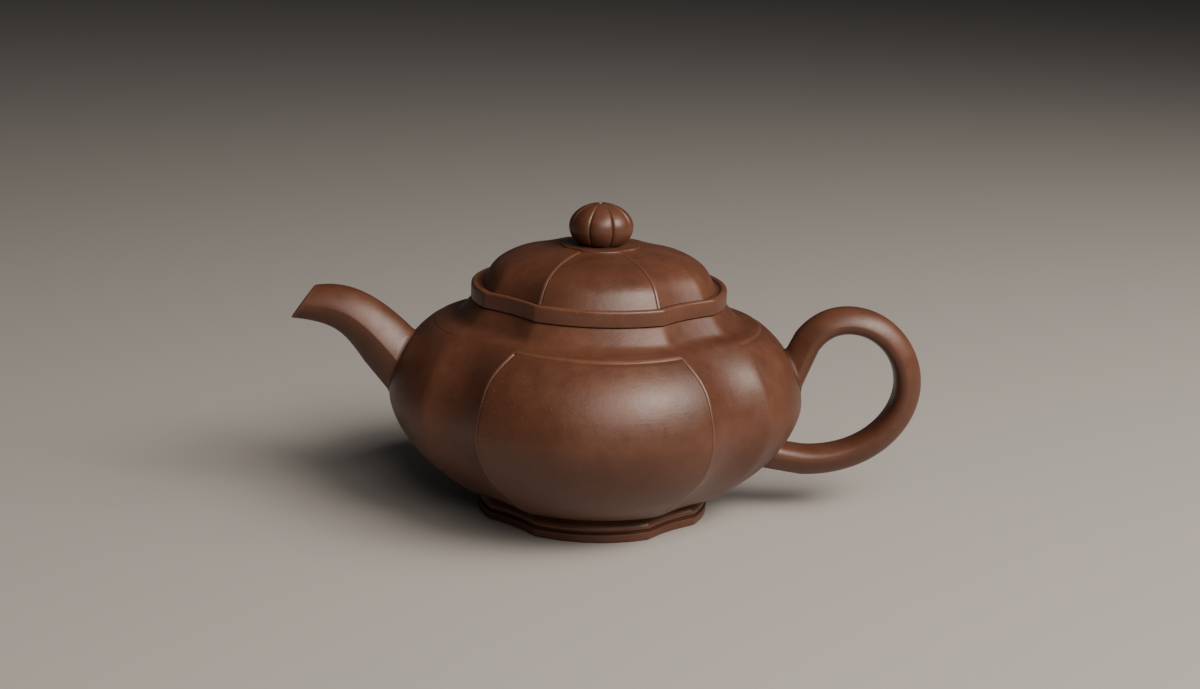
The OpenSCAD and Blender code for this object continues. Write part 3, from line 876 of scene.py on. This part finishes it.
def on_dome(r, turn, z):
    """A point of the dome's skin, with the lines that run up from its foot on the panels."""
    azimuth = columned(turn, lobe_half, r)
    front = faces_front(azimuth)
    corner = corner_at(neck_r + dome_sink * (z - rim_top) / dome_h)
    skin = r * plan(azimuth, corner, lobe_half, soft_dome_panel if front else soft_dome_side)
    depth = lip = bottom = 0
    if front and r > platform_r + 0.2:
        off = math.radians(abs(fold(azimuth)) - lobe_half) * r
        # The lines' round walls are painted paler, as wear and painted highlight, and their bottoms
        # darker as painted shade
        depth, lip, bottom = line_cut(off, dome_line_cut)
    out, up = dome_slope(r, z)
    return polar(skin - depth * out, azimuth, z - depth * up), lip, bottom


def dome_skin(r, z):
    """The dome's profile, cut back from its curve round the platform and over its foot."""
    over = z - rim_top
    flat = 0.3 * (1 - (1 - over / 2) ** 2 if over < 2 else smooth((5.5 - over) / 3.5))
    return r - flat, z - platform_h * smooth((22 - r) / 12)


dome_angles = [dome_first + (dome_end - dome_first) * s / 90 for s in half_degrees]
dome_line = even([dome_skin(*quarter(0, dome_r, dome_low, dome_top, dome_fullness, s))
                  for s in dome_angles], 0.4)
dome_line += fillet((platform_r - 0.06, knob_seat_z), dome_line[-1], (0, knob_seat_z), 0.2)
hollow_h = dome_h - dome_t
hollow_line = [(hollow_r * math.cos(math.radians(s)),
                rim_top + hollow_h * math.sin(math.radians(s))) for s in range(85, -1, -5)]


def place_dome(r, turn, z):
    """The dome's skin is lobed, and its hollow and its air hole are round."""
    if r > hollow_r + 0.5 or z > rim_top + hollow_h + 0.5 and r > 1:
        return on_dome(r, turn, z)
    return place_round(r, turn, z)


def within_dome(point, normal):
    """True on the dome's hollow."""
    return normal.z < -0.05 and radius_of(point) < hollow_r + 0.3 and point.z > rim_top + 0.02


dome = dome_line + [(vent_r, knob_seat_z), (vent_r, rim_top + hollow_h)] + hollow_line
piece(placed(spun(dome, COLUMNS), place_dome), "lid_dome_shell", "lid", ["lid_dome"], burnished,
      within_dome, bare)

flange = rounded([(flange_r - flange_t, flange_low.z), (flange_r, flange_low.z),
                  (flange_r, flange_high.z), (flange_r - flange_t, flange_high.z)],
                 {0: 0.6, 1: 0.9})
piece(placed(spun(flange, ROUND_COLUMNS), place_round), "lid_flange_ring", "lid", ["lid_flange"],
      bare)


# ---------------------------------------------------------------- the melon knob

knob_z = knob_seat_z + stem_h
ribs = 8
gore = 360 / ribs
knob_low = 40  # how far below its widest the melon is cut off, as an angle of its curve
low_share = math.sin(math.radians(knob_low))
knob_middle = knob_z + (knob_top - knob_z) * low_share / (low_share + 1)
knob_half = knob_top - knob_middle


def place_knob(r, turn, z):
    """Eight plump segments with a narrow line between each two, which fade out at the air hole."""
    if z < knob_z - 0.01 or r < vent_r + 0.3:
        return place_round(r, turn, z)
    t = turn - gore * round(turn / gore)
    beside = gore / 2 - abs(t)
    full = smooth((r - vent_r - 0.3) / 2.5)
    depth, lip, bottom = line_cut(math.radians(beside) * r, knob_line)
    drawn_in = 0.055 * (abs(t) / (gore / 2)) ** 2.6 * full
    # The lines' walls are painted paler, as wear and painted highlight, and their bottoms darker as
    # painted shade
    return polar(r * (1 - drawn_in) - full * depth, turn, z), 0.5 * full * lip, full * bottom


melon = [(knob_r * math.cos(math.radians(s)), knob_middle + knob_half * math.sin(math.radians(s)))
         for s in range(-knob_low, 84, 3)]
knob = ([(vent_r, knob_seat_z), (stem_r, knob_seat_z), (stem_r, knob_z - 0.1),
         (stem_r + 0.4, knob_z)] + even(melon, 0.35)
        + [(vent_r + 0.25, knob_top - 0.05), (vent_r, knob_top - 0.35)])
piece(placed(spun(knob, 256), place_knob), "melon_knob", "lid", ["knob"], burnished)

# The pierced strainer keeps its CAD shape
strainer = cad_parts["spout_strainer"]
strainer.data.materials.clear()
strainer.data.materials.append(bare)


# ---------------------------------------------------------------- studio

# A round sheet of matt paper, just under the foot
floor_bm = bmesh.new()
bmesh.ops.create_circle(floor_bm, cap_ends=True, segments=96, radius=8)
floor_mesh = bpy.data.meshes.new("studio_floor")
floor_bm.to_mesh(floor_mesh)
floor_bm.free()
floor = bpy.data.objects.new("studio_floor", floor_mesh)
floor.location.z = -0.00005
bpy.context.scene.collection.objects.link(floor)
paper = bpy.data.materials.new("pale_backdrop_paper")
paper.use_nodes = True
shader = paper.node_tree.nodes["Principled BSDF"]
shader.inputs["Base Color"].default_value = linear("#aca9a5")
shader.inputs["Roughness"].default_value = 0.85
floor_mesh.materials.append(paper)

world = bpy.data.worlds.new("studio_air")
world.use_nodes = True
air = world.node_tree.nodes["Background"]
air.inputs["Color"].default_value = linear("#dcdcdf")
air.inputs["Strength"].default_value = 0.05
bpy.context.scene.world = world


def soft_light(name, azimuth, elevation, distance, width, height, watts, colour):
    """A softbox that looks at the pot's middle. Azimuth 0 is in front of it and 90 on its right;
    the distance and the box's sides are metres."""
    a, e = math.radians(azimuth), math.radians(elevation)
    target = Vector((0, 0, 0.034))
    data = bpy.data.lights.new(name, "AREA")
    data.shape, data.size, data.size_y = "RECTANGLE", width, height
    data.energy, data.color = watts, linear(colour)[:3]
    light = bpy.data.objects.new(name, data)
    way = Vector((math.sin(a) * math.cos(e), -math.cos(a) * math.cos(e), math.sin(e)))
    light.location = target + way * distance
    light.rotation_euler = way.to_track_quat("Z", "Y").to_euler()
    bpy.context.scene.collection.objects.link(light)


# The small box gives the highlights their core, and the wide one their soft surround
soft_light("key_softbox", 51, 41, 0.8, 0.5, 0.26, 5.1, "#fff4ea")
soft_light("wide_softbox", 46, 43, 0.8, 1.3, 0.5, 8.3, "#fff4ea")

# The camera stands 450 mm from the pot, a little above it, turned and tilted by a degree or two
target = Vector((0, 0, 0.036))
distance, elevation, roll, yaw = 0.45, math.radians(14.8), math.radians(1.98), math.radians(0.45)
eye = target + distance * Vector((-math.sin(yaw) * math.cos(elevation),
                                  -math.cos(yaw) * math.cos(elevation), math.sin(elevation)))
look = (target - eye).normalized()
right = look.cross(Vector((0, 0, 1))).normalized()
up = right.cross(look)
right, up = (right * math.cos(roll) + up * math.sin(roll),
             up * math.cos(roll) - right * math.sin(roll))
# It aims a little right of the target and above it
aside, above = 0.000816, 0.004056
aim = (target + right * aside + up * above - eye).normalized()
right = (right - right.dot(aim) * aim).normalized()
up = right.cross(aim)
camera_data = bpy.data.cameras.new("studio_camera")
camera_data.sensor_width, camera_data.lens = 36, 56.25
camera_data.clip_start, camera_data.clip_end = 0.01, 50
camera = bpy.data.objects.new("studio_camera", camera_data)
camera.matrix_world = Matrix((
    (right.x, up.x, -aim.x, eye.x),
    (right.y, up.y, -aim.y, eye.y),
    (right.z, up.z, -aim.z, eye.z),
    (0, 0, 0, 1)))
bpy.context.scene.collection.objects.link(camera)
bpy.context.scene.camera = camera
